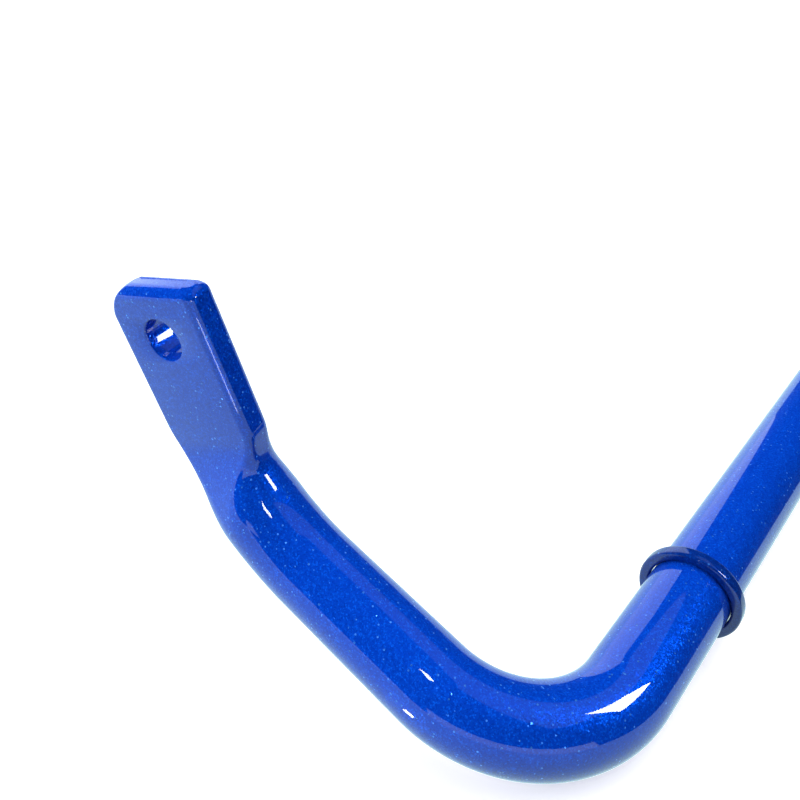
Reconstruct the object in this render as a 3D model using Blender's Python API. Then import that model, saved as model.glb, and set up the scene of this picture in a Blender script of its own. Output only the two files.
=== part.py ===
"""Sway bar: a one-piece bent spring-steel bar with flattened, drilled ends, two
collars, and two lined D-bushes held in saddle clamps.

+X runs along the main bar, +Y points from the main bar to the ends of the arms,
+Z is up and the saddles and bushes stand on z = 0.
"""
import math

import bpy
from mathutils import Matrix, Vector

# Bar
BAR_DIAMETER = 0.024
CORNER_SPAN = 1.040
CORNER_BEND_RADIUS = 0.036
ARM_RISE = math.radians(15.7)
ARM_TOE_IN = math.radians(3.4)
ARM_LENGTH = 0.1058
NECK_BEND_RADIUS = 0.047
AXIS_HEIGHT = 0.018

# Flattened end, its face upright and turned to the outside of the car
END_RISE = math.radians(73.5)
END_TOE_OUT = math.radians(17.6)
END_TWIST = math.radians(-10.0)
END_WIDTH = 0.0306
END_THICKNESS = 0.0084
END_EDGE_RADIUS = 0.0024
END_OFFSET = 0.0007
FAR_CORNER_RADIUS = 0.0085
NEAR_CORNER_RADIUS = 0.0014
TIP_EDGE_RADIUS = 0.0027
TIP_CROWN = 0.0026
TIP_CROWN_LENGTH = 0.012
NECK_TO_HOLE = 0.0545
HOLE_TO_TIP = 0.0146
WIDE_BELOW_HOLE = 0.026
WIDE_FADE = 0.018
THIN_BELOW_HOLE = 0.031
THIN_FADE = 0.024
LINK_HOLE_DIAMETER = 0.0112

# Collars, bushes and clamps
RUNNING_GAP = 0.0003
COLLAR_FROM_CORNER = 0.077
COLLAR_WIDTH = 0.004
COLLAR_DIAMETER = 0.0304
COLLAR_EDGE_RADIUS = 0.0008
BUSH_FROM_CORNER = 0.355
LINER_WALL = 0.0009
LINER_SLIT = 0.0012
BUSH_LENGTH = 0.036
BUSH_RADIUS = 0.0190
BUSH_LIP_WIDTH = 0.0036
BUSH_LIP_HEIGHT = 0.0026
BUSH_LIP_DRAFT = 0.0004
BUSH_SLIT = 0.0009
STRAP_THICKNESS = 0.003
STRAP_BEND_RADIUS = 0.003
FOOT_REACH = 0.043
FOOT_BOLT_OFFSET = 0.0335
FOOT_BOLT_HOLE = 0.0088
NIPPLE_HOLE = 0.0064
NIPPLE_PROFILE = (
    (0.0028, -0.0034), (0.0028, 0.0004), (0.0036, 0.0010), (0.0036, 0.0044),
    (0.0024, 0.0056), (0.0017, 0.0068), (0.0017, 0.0078), (0.0025, 0.0088),
    (0.0025, 0.0098), (0.0016, 0.0106),
)

ROUND_STEPS = 32
PROFILE_STEPS = 8

BAR_RADIUS = BAR_DIAMETER / 2
LINER_INNER = BAR_RADIUS + RUNNING_GAP
LINER_OUTER = LINER_INNER + LINER_WALL
BUSH_BORE = LINER_OUTER + RUNNING_GAP + 0.0001
STRAP_WIDTH = BUSH_LENGTH - 2 * BUSH_LIP_WIDTH - 2 * RUNNING_GAP
STRAP_INNER = BUSH_RADIUS + RUNNING_GAP
STRAP_OUTER = STRAP_INNER + STRAP_THICKNESS
CORNER_X = CORNER_SPAN / 2


def smooth_step(value):
    """Return value clamped to 0..1 and eased at both ends."""
    value = min(max(value, 0.0), 1.0)
    return value * value * (3 - 2 * value)


def heading(rise, toe):
    """Return the unit direction with a rise above level and a lean towards +X."""
    level = math.cos(rise)
    return Vector((level * math.sin(toe), level * math.cos(toe), math.sin(rise)))


def bend(vertex, arriving, leaving, radius, steps):
    """Return (point, direction) stations round one bend of the bar."""
    angle = arriving.angle(leaving)
    start = vertex - arriving * radius * math.tan(angle / 2)
    inward = (leaving - arriving * arriving.dot(leaving)).normalized()
    centre = start + inward * radius
    stations = []
    for step in range(steps + 1):
        turn = angle * step / steps
        point = centre - inward * radius * math.cos(turn) + arriving * radius * math.sin(turn)
        direction = arriving * math.cos(turn) + inward * math.sin(turn)
        stations.append((point, direction))
    return stations


def straight(start, end, direction, steps):
    """Return the inner stations of a straight length."""
    return [(start.lerp(end, step / steps), direction) for step in range(1, steps)]


def half_bar_stations():
    """Return stations from the middle of the main bar to the tip of the left end."""
    outward = Vector((-1, 0, 0))
    arm = heading(ARM_RISE, ARM_TOE_IN)
    end = heading(END_RISE, -END_TOE_OUT)
    corner = Vector((-CORNER_X, 0, 0))
    neck = corner + arm * ARM_LENGTH
    tip = neck + end * (NECK_TO_HOLE + HOLE_TO_TIP)
    corner_bend = bend(corner, outward, arm, CORNER_BEND_RADIUS, 12)
    neck_bend = bend(neck, arm, end, NECK_BEND_RADIUS, 10)
    middle = (Vector((0, 0, 0)), outward)
    stations = [middle] + straight(middle[0], corner_bend[0][0], outward, 4) + corner_bend
    stations += straight(corner_bend[-1][0], neck_bend[0][0], arm, 3) + neck_bend
    flat_start = neck_bend[-1][0]
    rounding = tip - end * FAR_CORNER_RADIUS
    stations += straight(flat_start, rounding, end, 11)
    for step in range(7):
        turn = math.pi / 2 * step / 6
        stations.append((rounding + end * FAR_CORNER_RADIUS * math.sin(turn), end))
    return stations


def face_normal(direction):
    """Return the flat end's outward face normal for a given end direction."""
    level = Vector((0, 0, 1)).cross(direction).normalized()
    if level.x > 0:
        level = -level
    return Matrix.Rotation(END_TWIST, 3, direction) @ level


def corner_inset(radius, from_tip):
    """Return how far a rounded corner draws the edge in at a distance from the tip."""
    reach = max(radius - from_tip, 0.0)
    return radius - math.sqrt(radius ** 2 - reach ** 2)


def section(point, direction, normal, from_tip):
    """Return one section of the bar, round in the shaft and flattened near the tip."""
    below_hole = from_tip - HOLE_TO_TIP
    width_part = 1 - smooth_step((below_hole - WIDE_BELOW_HOLE) / WIDE_FADE)
    flatness = 1 - smooth_step((below_hole - THIN_BELOW_HOLE) / THIN_FADE)
    half_width = BAR_RADIUS + (END_WIDTH / 2 - BAR_RADIUS) * width_part
    half_depth = BAR_RADIUS + (END_THICKNESS / 2 - BAR_RADIUS) * flatness
    half_depth -= corner_inset(TIP_EDGE_RADIUS, from_tip)
    edge = BAR_RADIUS + (END_EDGE_RADIUS - BAR_RADIUS) * flatness
    edge = min(edge, half_depth, half_width)
    crown = TIP_CROWN * smooth_step(1 - from_tip / TIP_CROWN_LENGTH)
    across = normal.cross(direction)
    ring = []
    for quarter, (side, face) in enumerate(((1, 1), (-1, 1), (-1, -1), (1, -1))):
        corner = FAR_CORNER_RADIUS if side > 0 else NEAR_CORNER_RADIUS
        reach = half_width - corner_inset(corner, from_tip)
        for step in range(PROFILE_STEPS):
            turn = math.pi / 2 * (quarter + (step + 0.5) / PROFILE_STEPS)
            x = side * (reach - edge) + edge * math.cos(turn)
            y = face * (half_depth - edge) + edge * math.sin(turn) - END_OFFSET * flatness
            drop = crown * (x / (END_WIDTH / 2)) ** 2
            ring.append(point + across * x + normal * y - direction * drop)
    return ring


def half_bar_rings():
    """Return the left half's sections from the middle of the bar to the tip."""
    stations = half_bar_stations()
    rings = []
    normal = face_normal(stations[-1][1])
    from_tip = 0.0
    last_point = stations[-1][0]
    for point, direction in reversed(stations):
        from_tip += (last_point - point).length
        last_point = point
        normal = (normal - direction * normal.dot(direction)).normalized()
        rings.append(section(point, direction, normal, from_tip))
    rings.reverse()
    return rings


def mesh_object(name, points, faces, collection, shaded=True):
    """Make one object from points and faces and link it to a collection."""
    mesh = bpy.data.meshes.new(name)
    mesh.from_pydata([tuple(point) for point in points], [], faces)
    mesh.validate()
    mesh.update()
    made = bpy.data.objects.new(name, mesh)
    collection.objects.link(made)
    if shaded:
        mesh.shade_smooth()
        mesh.set_sharp_from_angle(angle=math.radians(35))
    return made


def loft(name, rings, collection):
    """Skin a list of equal rings and cap both ends."""
    count = len(rings[0])
    points = [point for ring in rings for point in ring]
    faces = []
    for row in range(len(rings) - 1):
        for step in range(count):
            following = (step + 1) % count
            low = row * count
            high = low + count
            faces.append((low + step, low + following, high + following, high + step))
    faces.append(tuple(reversed(range(count))))
    last = (len(rings) - 1) * count
    faces.append(tuple(last + step for step in range(count)))
    return mesh_object(name, points, faces, collection)


def extrude_x(name, outline, length, collection):
    """Extrude a closed YZ outline along X, centred on x = 0."""
    count = len(outline)
    points = [(-length / 2, y, z) for y, z in outline] + [(length / 2, y, z) for y, z in outline]
    faces = [tuple(reversed(range(count))), tuple(range(count, 2 * count))]
    for step in range(count):
        following = (step + 1) % count
        faces.append((step, following, count + following, count + step))
    return mesh_object(name, points, faces, collection)


def cylinder(name, radius, length, placement, collection, steps=ROUND_STEPS):
    """Make a cylinder along its own Z, centred, then place it in the mesh."""
    bpy.ops.mesh.primitive_cylinder_add(vertices=steps, radius=radius, depth=length)
    made = bpy.context.active_object
    made.name = name
    made.data.name = name
    made.data.transform(placement)
    for owner in list(made.users_collection):
        owner.objects.unlink(made)
    collection.objects.link(made)
    return made


def arc(centre_y, centre_z, radius, start, stop, steps):
    """Return YZ points along an arc, angles from +Y towards +Z."""
    points = []
    for step in range(steps + 1):
        turn = start + (stop - start) * step / steps
        points.append((centre_y + radius * math.cos(turn), centre_z + radius * math.sin(turn)))
    return points


def cut(target, cutter):
    """Take a cutter out of a target with an exact Boolean and let it ride on the target."""
    modifier = target.modifiers.new("Cut", "BOOLEAN")
    modifier.operation = "DIFFERENCE"
    modifier.solver = "EXACT"
    modifier.object = cutter
    cutter.parent = target


def split_ring(inner, outer, slit, steps):
    """Return the closed YZ outline of a ring with a slit on its -Y side."""
    outer_gap = math.asin(slit / 2 / outer)
    inner_gap = math.asin(slit / 2 / inner)
    outside = arc(0, 0, outer, -math.pi + outer_gap, math.pi - outer_gap, steps)
    inside = arc(0, 0, inner, math.pi - inner_gap, -math.pi + inner_gap, steps)
    return outside + inside


def bush_outline(radius):
    """Return the closed YZ outline of a D-bush with its bore and its slit on -Y."""
    slit_height = BUSH_SLIT / 2
    gap = math.asin(slit_height / BUSH_BORE)
    lower_side = [(-radius, -slit_height), (-radius, -AXIS_HEIGHT), (radius, -AXIS_HEIGHT)]
    top = arc(0, 0, radius, 0, math.pi - math.asin(slit_height / radius), ROUND_STEPS // 2)
    bore = arc(0, 0, BUSH_BORE, math.pi - gap, -math.pi + gap, ROUND_STEPS)
    return lower_side + top + bore


def strap_outline():
    """Return the closed YZ outline of the saddle: two feet, two sides and a crown."""
    bend_out = STRAP_BEND_RADIUS
    bend_in = STRAP_BEND_RADIUS + STRAP_THICKNESS
    foot_top = -AXIS_HEIGHT + STRAP_THICKNESS
    right_out = [(FOOT_REACH, -AXIS_HEIGHT), (FOOT_REACH, foot_top)]
    right_out += arc(STRAP_OUTER + bend_out, foot_top + bend_out, bend_out, -math.pi / 2, -math.pi, 4)
    crown = arc(0, 0, STRAP_OUTER, 0, math.pi, ROUND_STEPS // 2)
    left_out = [(-y, z) for y, z in reversed(right_out)]
    left_in = [(-y, z) for y, z in arc(
        STRAP_INNER + bend_in, -AXIS_HEIGHT + bend_in, bend_in, -math.pi / 2, -math.pi, 4)]
    under = arc(0, 0, STRAP_INNER, math.pi, 0, ROUND_STEPS // 2)
    right_in = [(-y, z) for y, z in reversed(left_in)]
    return right_out + crown + left_out + left_in + under + right_in


def ring_profile(name, inner, outer, width, edge, collection):
    """Turn a rounded ring about X from a profile, centred on x = 0."""
    half = width / 2
    corners = ((half - edge, outer - edge, 0.0), (-half + edge, outer - edge, math.pi / 2))
    profile = [(half, inner)]
    for x, r, start in corners:
        for step in range(4):
            turn = start + math.pi / 2 * step / 3
            profile.append((x + edge * math.cos(turn), r + edge * math.sin(turn)))
    profile.append((-half, inner))
    rings = []
    for step in range(ROUND_STEPS):
        turn = 2 * math.pi * (step + 0.5) / ROUND_STEPS
        rings.append([Vector((x, r * math.cos(turn), r * math.sin(turn))) for x, r in profile])
    count = len(profile)
    points = [point for ring in rings for point in ring]
    faces = []
    for row in range(ROUND_STEPS):
        low = row * count
        high = (row + 1) % ROUND_STEPS * count
        for step in range(count):
            following = (step + 1) % count
            faces.append((low + step, low + following, high + following, high + step))
    return mesh_object(name, points, faces, collection)


def material(name, colour, roughness, metallic, coat=0.0):
    """Make one Principled material."""
    made = bpy.data.materials.new(name)
    made.use_nodes = True
    shader = made.node_tree.nodes["Principled BSDF"]
    shader.inputs["Base Color"].default_value = (*colour, 1.0)
    shader.inputs["Roughness"].default_value = roughness
    shader.inputs["Metallic"].default_value = metallic
    shader.inputs["Coat Weight"].default_value = coat
    return made


def make_bar(parts, cutters):
    """Make the whole bar as one skinned body and drill its link holes."""
    left = half_bar_rings()
    right = [[Vector((-point.x, point.y, point.z)) for point in ring] for ring in left]
    bar = loft("bar", list(reversed(right)) + left[1:], parts)
    end = half_bar_stations()[-1][1]
    neck = Vector((-CORNER_X, 0, 0)) + heading(ARM_RISE, ARM_TOE_IN) * ARM_LENGTH
    centre = neck + end * NECK_TO_HOLE
    normal = face_normal(end)
    for name, side in (("left_link_hole", 1), ("right_link_hole", -1)):
        along = Vector((normal.x * side, normal.y, normal.z))
        place = Matrix.Translation(Vector((centre.x * side, centre.y, centre.z)))
        turned = place @ along.to_track_quat("Z", "Y").to_matrix().to_4x4()
        drill = cylinder(name, LINK_HOLE_DIAMETER / 2, END_THICKNESS * 4, turned, cutters)
        cut(bar, drill)
    return bar


def make_saddle(name, cutters, parts):
    """Make one pressed saddle with two bolt holes and a nipple hole."""
    saddle = extrude_x(name, strap_outline(), STRAP_WIDTH, parts)
    for label, y in (("front", FOOT_BOLT_OFFSET), ("rear", -FOOT_BOLT_OFFSET)):
        place = Matrix.Translation((0, y, -AXIS_HEIGHT))
        drill = cylinder(f"{name}_{label}_drill", FOOT_BOLT_HOLE / 2, 4 * STRAP_THICKNESS, place, cutters)
        cut(saddle, drill)
    crown = Matrix.Translation((0, 0, STRAP_OUTER))
    cut(saddle, cylinder(f"{name}_nipple_drill", NIPPLE_HOLE / 2, 4 * STRAP_THICKNESS, crown, cutters, 24))
    return saddle


def make_bush(name, cutters, parts):
    """Make one split D-bush with a lip at each end and a pocket for the nipple."""
    lip_radius = STRAP_INNER + BUSH_LIP_HEIGHT
    end = BUSH_LENGTH / 2
    groove = end - BUSH_LIP_WIDTH
    rows = ((-end, lip_radius), (-groove - BUSH_LIP_DRAFT, lip_radius), (-groove, BUSH_RADIUS),
            (groove, BUSH_RADIUS), (groove + BUSH_LIP_DRAFT, lip_radius), (end, lip_radius))
    rings = [[Vector((x, y, z)) for y, z in bush_outline(radius)] for x, radius in rows]
    body = loft(name, rings, parts)
    place = Matrix.Translation((0, 0, BUSH_RADIUS))
    cut(body, cylinder(f"{name}_pocket", NIPPLE_HOLE / 2, 0.0044, place, cutters, 24))
    return body


def make_nipple(name, parts):
    """Turn one grease nipple about Z, its shoulder on the saddle crown."""
    rings = []
    for radius, height in NIPPLE_PROFILE:
        turned = [2 * math.pi * step / 18 for step in range(18)]
        rings.append([Vector((radius * math.cos(a), radius * math.sin(a), height)) for a in turned])
    nipple = loft(name, rings, parts)
    nipple.data.transform(Matrix.Translation((0, 0, STRAP_OUTER)))
    return nipple


def clear_scene():
    """Remove everything the start-up scene holds."""
    for old in list(bpy.data.objects):
        bpy.data.objects.remove(old, do_unlink=True)


def collections():
    """Make the part collection and the hidden cutter collection."""
    parts = bpy.data.collections.new("Sway bar")
    cutters = bpy.data.collections.new("Cutters")
    bpy.context.scene.collection.children.link(parts)
    bpy.context.scene.collection.children.link(cutters)
    return parts, cutters


def pivot(name, place, parent, parts):
    """Make an empty that carries a moving group."""
    made = bpy.data.objects.new(name, None)
    made.empty_display_size = 0.02
    parts.objects.link(made)
    made.location = place
    made.parent = parent
    return made


def main():
    """Build the whole sway bar."""
    clear_scene()
    parts, cutters = collections()
    paint = material("flake blue paint", (0.012, 0.085, 0.52), 0.28, 0.6, 1.0)
    collar_paint = material("collar paint", (0.010, 0.070, 0.46), 0.28, 0.6, 1.0)
    plastic = material("liner plastic", (0.78, 0.77, 0.72), 0.5, 0.0)
    rubber = material("bush polyurethane", (0.03, 0.03, 0.035), 0.55, 0.0)
    zinc = material("zinc plated steel", (0.62, 0.60, 0.55), 0.35, 1.0)
    brass = material("nipple steel", (0.70, 0.66, 0.52), 0.3, 1.0)

    bar = make_bar(parts, cutters)
    bar.data.materials.append(paint)
    front = max(vertex.co.y for vertex in bar.data.vertices)
    axis = Vector((0, (FOOT_REACH - front) / 2, AXIS_HEIGHT))
    bar.location = axis

    for side_name, side in (("left", -1), ("right", 1)):
        collar = ring_profile(f"{side_name}_collar", BAR_RADIUS + RUNNING_GAP, COLLAR_DIAMETER / 2,
                              COLLAR_WIDTH, COLLAR_EDGE_RADIUS, parts)
        collar.data.materials.append(collar_paint)
        collar.location = (side * (CORNER_X - COLLAR_FROM_CORNER - COLLAR_WIDTH / 2), 0, 0)
        collar.parent = bar

        station = Vector((side * (CORNER_X - BUSH_FROM_CORNER), 0, 0))
        sleeve = pivot(f"{side_name} sleeve", station, bar, parts)
        liner = extrude_x(f"{side_name}_liner", split_ring(LINER_INNER, LINER_OUTER, LINER_SLIT, ROUND_STEPS),
                          BUSH_LENGTH, parts)
        liner.data.materials.append(plastic)
        liner.parent = sleeve
        bracket = pivot(f"{side_name} bracket", Vector((0, 0, 0)), sleeve, parts)
        for made, finish in ((make_bush(f"{side_name}_bush", cutters, parts), rubber),
                             (make_saddle(f"{side_name}_saddle", cutters, parts), zinc),
                             (make_nipple(f"{side_name}_grease_nipple", parts), brass)):
            made.data.materials.append(finish)
            made.parent = bracket

    for hidden in cutters.objects:
        hidden.hide_render = True
        hidden.display_type = "WIRE"


main()
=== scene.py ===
"""Looks of the sway bar: flake paint, plated clamps, moulded bushes and a studio.

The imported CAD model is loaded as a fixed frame. Each of its pieces is built again
here as a smooth, close-edged mesh on the place the frame gives it, dressed in its
own finish, and set to ride on the same body. +X runs along the main bar, +Y points
to the ends of the arms and +Z is up. Lengths are in metres.
"""

from __future__ import annotations

import logging
import math
from collections.abc import Callable, Sequence
from dataclasses import dataclass, field
from enum import Enum

import bmesh
import bpy
from mathutils import Matrix, Vector

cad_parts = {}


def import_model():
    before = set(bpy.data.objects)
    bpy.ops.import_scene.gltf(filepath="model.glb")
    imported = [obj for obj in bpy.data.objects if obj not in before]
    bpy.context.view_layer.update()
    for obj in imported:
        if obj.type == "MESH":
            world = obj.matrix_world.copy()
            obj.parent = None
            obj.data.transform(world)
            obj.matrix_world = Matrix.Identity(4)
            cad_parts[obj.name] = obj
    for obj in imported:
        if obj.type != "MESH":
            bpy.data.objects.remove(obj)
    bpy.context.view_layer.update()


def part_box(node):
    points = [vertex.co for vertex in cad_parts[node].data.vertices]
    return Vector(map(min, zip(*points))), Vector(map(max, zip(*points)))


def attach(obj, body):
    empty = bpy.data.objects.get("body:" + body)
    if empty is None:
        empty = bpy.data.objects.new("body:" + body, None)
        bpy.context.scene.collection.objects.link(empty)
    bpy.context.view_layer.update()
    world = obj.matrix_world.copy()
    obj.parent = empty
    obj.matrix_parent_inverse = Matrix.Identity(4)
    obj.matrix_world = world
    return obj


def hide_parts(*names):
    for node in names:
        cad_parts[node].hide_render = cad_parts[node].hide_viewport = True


LOG = logging.getLogger("sway_bar")
Colour = tuple[float, float, float]
Pair = tuple[float, float]
Piece = bpy.types.Object
Material = bpy.types.Material
Node = bpy.types.Node
Socket = bpy.types.NodeSocket
Operand = "Wire | float"
SQUARE: tuple[Pair, ...] = ((-1, -1), (1, -1), (1, 1), (-1, 1))


class Side(Enum):
    """Which half of the bar a piece belongs to; the value is the sign of its X."""

    LEFT = -1
    RIGHT = 1

    @property
    def word(self) -> str:
        """Return the side as it stands at the start of a node's name."""
        return self.name.lower()


# --------------------------------------------------------------------------- shaders


class Wire:
    """One value output of a shader tree that arithmetic can be written on."""

    def __init__(self, tree: ShaderTree, socket: Socket) -> None:
        """Keep the tree and the socket.

        Args:
            tree: The shader tree that the socket belongs to.
            socket: The output socket.
        """
        self.tree = tree
        self.socket = socket

    def _math(self, operation: str, first: Operand, second: Operand) -> Wire:
        """Add one Math node.

        Args:
            operation: The Math node's operation.
            first: Its first operand.
            second: Its second operand.

        Returns:
            The node's result.
        """
        node = self.tree.add("ShaderNodeMath", {"operation": operation}, {0: first, 1: second})
        return self.tree.wire(node, "Value")

    def __add__(self, other: Operand) -> Wire:
        """Return self + other."""
        return self._math("ADD", self, other)

    __radd__ = __add__

    def __sub__(self, other: Operand) -> Wire:
        """Return self - other."""
        return self._math("SUBTRACT", self, other)

    def __rsub__(self, other: Operand) -> Wire:
        """Return other - self."""
        return self._math("SUBTRACT", other, self)

    def __mul__(self, other: Operand) -> Wire:
        """Return self * other."""
        return self._math("MULTIPLY", self, other)

    __rmul__ = __mul__

    def __gt__(self, other: Operand) -> Wire:
        """Return 1 where self is greater than other, and 0 elsewhere."""
        return self._math("GREATER_THAN", self, other)

    def power(self, exponent: Operand) -> Wire:
        """Return self raised to an exponent."""
        return self._math("POWER", self, exponent)

    def ramp(self, low: float, high: float, shape: str = "LINEAR") -> Wire:
        """Return a 0 to 1 ramp as self goes from low to high.

        Args:
            low: The value at which the ramp leaves 0.
            high: The value at which it reaches 1.
            shape: The Map Range node's interpolation.

        Returns:
            The ramp.
        """
        values = {"Value": self, "From Min": low, "From Max": high}
        node = self.tree.add("ShaderNodeMapRange", {"interpolation_type": shape}, values)
        return self.tree.wire(node, "Result")

    def eased(self, low: float, high: float) -> Wire:
        """Return ramp() with both ends eased."""
        return self.ramp(low, high, "SMOOTHSTEP")


class NodeBuilder:
    """Adds nodes to one tree, of whichever kind."""

    def __init__(self, tree: bpy.types.NodeTree) -> None:
        """Keep the tree.

        Args:
            tree: The node tree to build in.
        """
        self.tree = tree

    def add(
        self,
        kind: str,
        settings: dict[str, object] | None = None,
        values: dict[str | int, object] | None = None,
    ) -> Node:
        """Add one node, settings first, then its sockets.

        Args:
            kind: The node's type.
            settings: Attributes of the node.
            values: Input sockets by name or number, each a number, a tuple, a socket or a Wire.

        Returns:
            The new node.
        """
        node = self.tree.nodes.new(kind)
        for name, value in (settings or {}).items():
            setattr(node, name, value)
        for key, value in (values or {}).items():
            self.put(node, key, value)
        return node

    def put(self, node: Node, key: str | int, value: object) -> None:
        """Set or link one input socket.

        Args:
            node: The node.
            key: The socket's name or number.
            value: A number, tuple, socket or Wire.
        """
        socket = node.inputs[key]
        source = value.socket if isinstance(value, Wire) else value
        if isinstance(source, Socket):
            self.tree.links.new(source, socket)
        elif socket.type == "RGBA" and len(source) == 3:
            socket.default_value = (*source, 1.0)
        else:
            socket.default_value = source


class ShaderTree(NodeBuilder):
    """One material's or world's node tree."""

    def __init__(self, tree: bpy.types.NodeTree) -> None:
        """Empty a tree and keep it.

        Args:
            tree: The node tree to build in.
        """
        super().__init__(tree)
        tree.nodes.clear()

    def wire(self, node: Node, output: str | int = 0) -> Wire:
        """Return one output of a node as a Wire."""
        return Wire(self, node.outputs[output])

    def noise(self, place: Socket, scale: float, detail: float) -> Wire:
        """Return a noise texture's value.

        Args:
            place: Where it is read.
            scale: How many of its lumps fit in a metre.
            detail: How many finer layers it has.

        Returns:
            The noise, from 0 to 1.
        """
        values = {"Vector": place, "Scale": scale, "Detail": detail}
        return self.wire(self.add("ShaderNodeTexNoise", None, values))

    def bump(self, strength: float, distance: float, height: Wire) -> Socket:
        """Return the normal of a Bump node.

        Args:
            strength: How strongly it leans the normal.
            distance: Depth of the relief.
            height: The relief, from 0 to 1.

        Returns:
            The normal's socket.
        """
        values = {"Strength": strength, "Distance": distance, "Height": height}
        return self.add("ShaderNodeBump", None, values).outputs[0]

    def mixed(self, factor: Wire, low: object, high: object) -> Socket:
        """Mix two colours.

        Args:
            factor: 0 for low, 1 for high.
            low: A colour or a colour socket.
            high: A colour or a colour socket.

        Returns:
            The mixed colour's socket.
        """
        node = self.add("ShaderNodeMix", {"data_type": "RGBA"}, {0: factor})
        self.put(node, 6, low)
        self.put(node, 7, high)
        return node.outputs[2]

    def vector(
        self, operation: str, first: object, second: object = None, scale: float | None = None,
    ) -> Socket:
        """Add one Vector Math node.

        Args:
            operation: The node's operation.
            first: Its first vector.
            second: Its second vector, where it takes one.
            scale: The scale, where it takes one.

        Returns:
            The resulting vector's socket.
        """
        values = {0: first}
        if second is not None:
            values[1] = second
        if scale is not None:
            values["Scale"] = scale
        return self.add("ShaderNodeVectorMath", {"operation": operation}, values).outputs[0]


@dataclass(frozen=True)
class Finish:
    """A surface finish. A kind of finish fills in its own nodes.

    Attributes:
        name: The material's name.
        slot: The record's material slot it belongs to.
    """

    name: str
    slot: str

    def material(self) -> Material:
        """Build the material.

        Returns:
            The finished material.
        """
        made = bpy.data.materials.new(self.name)
        made.use_nodes = True
        tree = ShaderTree(made.node_tree)
        place = tree.add("ShaderNodeTexCoord").outputs["Object"]
        shader = tree.add("ShaderNodeBsdfPrincipled")
        self.dress(tree, shader, place)
        tree.add("ShaderNodeOutputMaterial", None, {"Surface": shader.outputs[0]})
        return made

    def dress(self, tree: ShaderTree, shader: Node, place: Socket) -> None:
        """Fill in the shader's sockets.

        Args:
            tree: The tree that nodes are added to.
            shader: The Principled node.
            place: The Object coordinates.
        """
        raise NotImplementedError


@dataclass(frozen=True)
class FlakePaint(Finish):
    """Metallic blue with fine flake under a thick clear coat.

    Attributes:
        deep: Colour between the flakes.
        bright: Painted glint colour that fine flakes take at random, as if they faced the light.
        spark: Painted glint colour of the rare large flakes.
        metal: How much of the base reflects as flake.
        spark_metal: How much more of it does in a large flake.
        flake_size: Width of a fine flake.
        spark_size: Spacing of the rare large flakes.
        tilt: How far the fine flakes lean.
        spark_tilt: How far the large flakes lean.
        spark_share: Share of the large cells that hold no flake.
        spark_core: Distance from a large flake's middle to where it starts to fade.
        spark_rim: Distance to where it has faded.
        glint: How strongly the fine flakes take the painted glint colour.
        cloud: How much the paint varies over larger patches.
        cloud_scale: How many of those patches fit in a metre.
        rough: Roughness of the smoothest fine flakes.
        rough_spread: How much rougher the roughest ones are.
        coat_rough: Roughness of the clear coat.
    """

    deep: Colour = (0.0005, 0.042, 0.47)
    bright: Colour = (0.004, 0.135, 0.90)
    spark: Colour = (0.06, 0.28, 1.0)
    metal: float = 0.22
    spark_metal: float = 0.4
    flake_size: float = 0.00034
    spark_size: float = 0.0011
    tilt: float = 0.30
    spark_tilt: float = 1.1
    spark_share: float = 0.84
    spark_core: float = 0.16
    spark_rim: float = 0.30
    glint: float = 0.45
    cloud: float = 0.16
    cloud_scale: float = 90.0
    rough: float = 0.24
    rough_spread: float = 0.16
    coat_rough: float = 0.022

    @staticmethod
    def _cells(tree: ShaderTree, place: Socket, size: float) -> tuple[Node, Node]:
        """Add a Voronoi pattern of flakes.

        Args:
            tree: The tree that nodes are added to.
            place: The Object coordinates.
            size: How wide a cell is.

        Returns:
            The Voronoi node, and the node that splits its colour.
        """
        values = {"Vector": place, "Scale": 1.0 / size}
        cells = tree.add("ShaderNodeTexVoronoi", {"feature": "F1"}, values)
        return cells, tree.add("ShaderNodeSeparateColor", None, {0: cells.outputs["Color"]})

    @staticmethod
    def _lean(tree: ShaderTree, cells: Node, tilt: float) -> Socket:
        """Return how each cell leans away from the surface, its own way."""
        about_zero = tree.vector("SUBTRACT", cells.outputs["Color"], (0.5, 0.5, 0.5))
        return tree.vector("SCALE", about_zero, scale=tilt)

    def dress(self, tree: ShaderTree, shader: Node, place: Socket) -> None:
        """Lean each flake its own way under a smooth coat.

        Args:
            tree: The tree that nodes are added to.
            shader: The Principled node.
            place: The Object coordinates.
        """
        fine, fine_parts = self._cells(tree, place, self.flake_size)
        coarse, coarse_parts = self._cells(tree, place, self.spark_size)
        chosen = tree.wire(coarse_parts, 0) > self.spark_share
        faded = tree.wire(coarse, "Distance").eased(self.spark_core, self.spark_rim)
        spark = chosen * (1.0 - faded)
        small, large = self._lean(tree, fine, self.tilt), self._lean(tree, coarse, self.spark_tilt)
        values = {0: spark, 4: small, 5: large}
        both = tree.add("ShaderNodeMix", {"data_type": "VECTOR"}, values).outputs[1]
        face = tree.add("ShaderNodeNewGeometry").outputs["Normal"]
        turned = tree.vector("NORMALIZE", tree.vector("ADD", face, both))
        cloud = tree.noise(place, self.cloud_scale, 3.0) * self.cloud
        # Painted glints: fine flakes take the bright colour at random and the rare large flakes the
        # spark colour, standing in for flake sparkle; the cloud is the paint's own patchy tone.
        tone = tree.wire(fine_parts, 1).power(3.0) * self.glint + cloud - 0.02
        ground = tree.mixed(tone.eased(0.0, 1.0), self.deep, self.bright)
        tree.put(shader, "Base Color", tree.mixed(spark, ground, self.spark))
        tree.put(shader, "Metallic", spark * self.spark_metal + self.metal)
        tree.put(shader, "Specular IOR Level", 0.0)
        tree.put(shader, "Roughness", tree.wire(fine_parts, 2) * self.rough_spread + self.rough)
        tree.put(shader, "Normal", turned)
        tree.put(shader, "Coat Weight", 1.0)
        tree.put(shader, "Coat Roughness", self.coat_rough)
        tree.put(shader, "Coat IOR", 1.5)


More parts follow.
